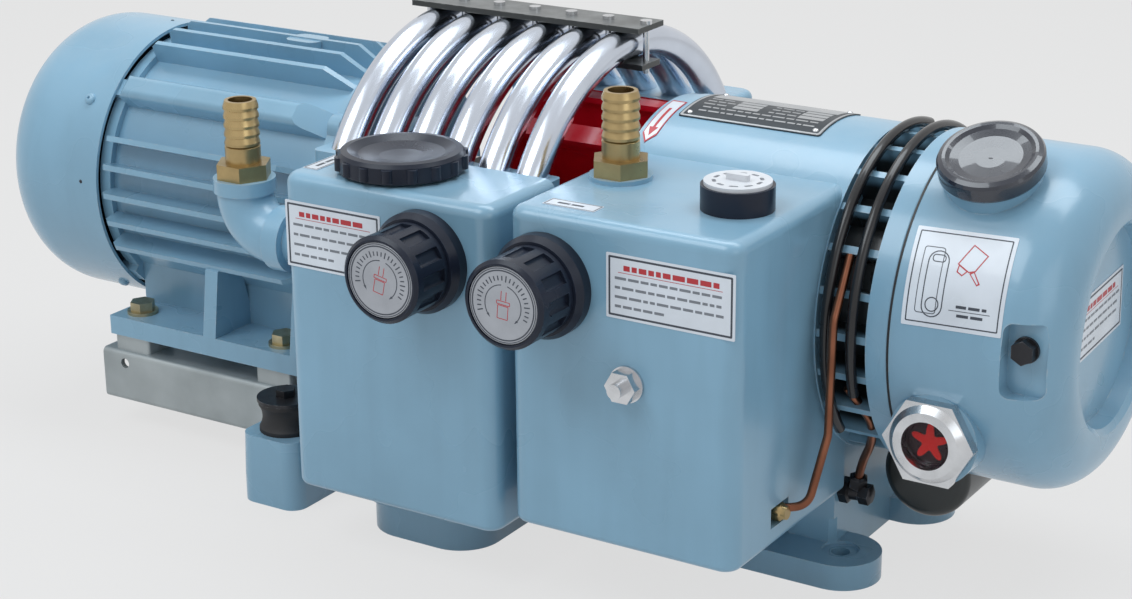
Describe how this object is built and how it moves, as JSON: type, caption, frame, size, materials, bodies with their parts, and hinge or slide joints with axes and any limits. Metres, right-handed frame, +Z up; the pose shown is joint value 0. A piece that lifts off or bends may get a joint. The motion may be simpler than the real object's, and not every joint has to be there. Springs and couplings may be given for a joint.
{
  "type": "oil-lubricated rotary vane pressure and vacuum pump",
  "caption": "Motor-driven rotary vane air pump with vacuum and pressure chambers, chrome cooling tubes over a coupling fan, and an oil chamber.",
  "frame": {"origin": "centre of the four foundation bolts, on the floor", "axes": "+X along the shaft towards the oil chamber, +Y to the back, +Z up"},
  "size_m": [0.884, 0.4383, 0.3466],
  "materials": {
    "blue_grey_paint": "gloss enamel over cast metal",
    "bare_rail": "bare, dull",
    "zinc_hardware": "yellow zinc plate",
    "bright_hardware": "bright plated",
    "rubber_black": "moulded",
    "black_hose": "smooth tube",
    "black_plastic": "moulded, slightly blue black",
    "white_plastic": "moulded",
    "machined_steel": "turned",
    "dark_steel": "blackened",
    "black_steel": "black",
    "red_paint": "gloss",
    "vane_carbon": "carbon vane",
    "ceramic_white": "porous ceramic",
    "sight_glass": "clear",
    "brass": "satin",
    "chrome_tube": "polished",
    "copper": "drawn copper, dulled"
  },
  "bodies": {
    "frame": {"base_frame": "blue_grey_paint", "motor_frame": "blue_grey_paint", "drive_end_shield": "blue_grey_paint", "rear_end_shield": "blue_grey_paint", "fan_cowl": "blue_grey_paint", "terminal_box": "blue_grey_paint", "pump_housing": "blue_grey_paint", "drive_end_plate": "blue_grey_paint", "lantern_cover": "blue_grey_paint", "oil_chamber": "blue_grey_paint", "vacuum_chamber": "blue_grey_paint", "pressure_chamber": "blue_grey_paint", "pipe_elbow": "blue_grey_paint", "front_tube_header": "blue_grey_paint", "rear_tube_header": "blue_grey_paint", "motor_rail_front": "bare_rail", "motor_rail_rear": "bare_rail", "foot_spacers": "bare_rail", "foot_bolts": "zinc_hardware", "buffer_plates": "zinc_hardware", "stud_and_nut": "bright_hardware", "clamp_screws": "bright_hardware", "sight_glass_nut": "bright_hardware", "rubber_buffers": "rubber_black", "oil_chamber_gasket": "rubber_black", "oil_tube_1": "black_hose", "oil_tube_2": "black_hose", "cable_gland": "black_plastic", "sight_glass": "sight_glass", "oil_plug": "dark_steel", "oil_return_housing": "black_steel", "ceramic_filter": "ceramic_white", "hose_barb_pressure": "brass", "hose_barb_vacuum": "brass", "vent_body": "black_plastic", "valve_collar_pressure": "black_plastic", "valve_collar_vacuum": "black_plastic", "cooling_tube_1": "chrome_tube", "cooling_tube_2": "chrome_tube", "cooling_tube_3": "chrome_tube", "cooling_tube_4": "chrome_tube", "cooling_tube_5": "chrome_tube", "cooling_tube_6": "chrome_tube", "clamp_strips": "black_steel", "copper_pipe": "copper"},
    "shaft": {"motor_shaft": "machined_steel", "cooling_fan": "black_plastic", "motor_coupling_hub": "machined_steel", "coupling_ring": "rubber_black", "coupling_fan": "red_paint", "pump_rotor": "machined_steel"},
    "vane_1": {"vane_1": "vane_carbon"},
    "vane_2": {"vane_2": "vane_carbon"},
    "vane_3": {"vane_3": "vane_carbon"},
    "pressure_knob": {"valve_knob_pressure": "black_plastic"},
    "vacuum_knob": {"valve_knob_vacuum": "black_plastic"},
    "pressure_relief": {"valve_disc_pressure": "brass"},
    "vacuum_relief": {"valve_disc_vacuum": "brass"},
    "vent_cap": {"vent_cap": "white_plastic"},
    "pressure_cap": {"pressure_cap": "black_plastic"},
    "oil_cap": {"oil_filler_cap": "black_plastic"}
  },
  "joints": [
    {"name": "shaft_spin", "type": "hinge", "parent": "frame", "child": "shaft", "pos_m": [0, 0, 0.188], "axis": [1, 0, 0], "continuous": true},
    {"name": "vane_1_slide", "type": "slide", "parent": "shaft", "child": "vane_1", "axis": [0, -0.866, 0.5], "range_m": [0, 0.0036]},
    {"name": "vane_2_slide", "type": "slide", "parent": "shaft", "child": "vane_2", "axis": [0, 0, 1], "range_m": [-0.0074, 0]},
    {"name": "vane_3_slide", "type": "slide", "parent": "shaft", "child": "vane_3", "axis": [0, 0.866, 0.5], "range_m": [0, 0.0036]},
    {"name": "pressure_knob_turn", "type": "hinge", "parent": "frame", "child": "pressure_knob", "pos_m": [-0.031, -0.24, 0.228], "axis": [0, -1, 0], "range_deg": [-720, 720]},
    {"name": "vacuum_knob_turn", "type": "hinge", "parent": "frame", "child": "vacuum_knob", "pos_m": [0.062, -0.24, 0.228], "axis": [0, -1, 0], "range_deg": [-720, 720]},
    {"name": "pressure_relief_lift", "type": "slide", "parent": "frame", "child": "pressure_relief", "axis": [0, -1, 0], "range_m": [0, 0.006], "stiffness_N_per_m": 300},
    {"name": "vacuum_relief_lift", "type": "slide", "parent": "frame", "child": "vacuum_relief", "axis": [0, -1, 0], "range_m": [0, 0.006], "stiffness_N_per_m": 300},
    {"name": "vent_cap_turn", "type": "hinge", "parent": "frame", "child": "vent_cap", "pos_m": [0.161, -0.146, 0.291], "axis": [0, 0, 1], "range_deg": [-90, 90]},
    {"name": "pressure_cap_lift", "type": "slide", "parent": "frame", "child": "pressure_cap", "axis": [0, 0, 1], "range_m": [0, 0.05]},
    {"name": "oil_cap_lift", "type": "slide", "parent": "frame", "child": "oil_cap", "axis": [0, -0.4226, 0.9063], "range_m": [0, 0.04]}
  ]
}
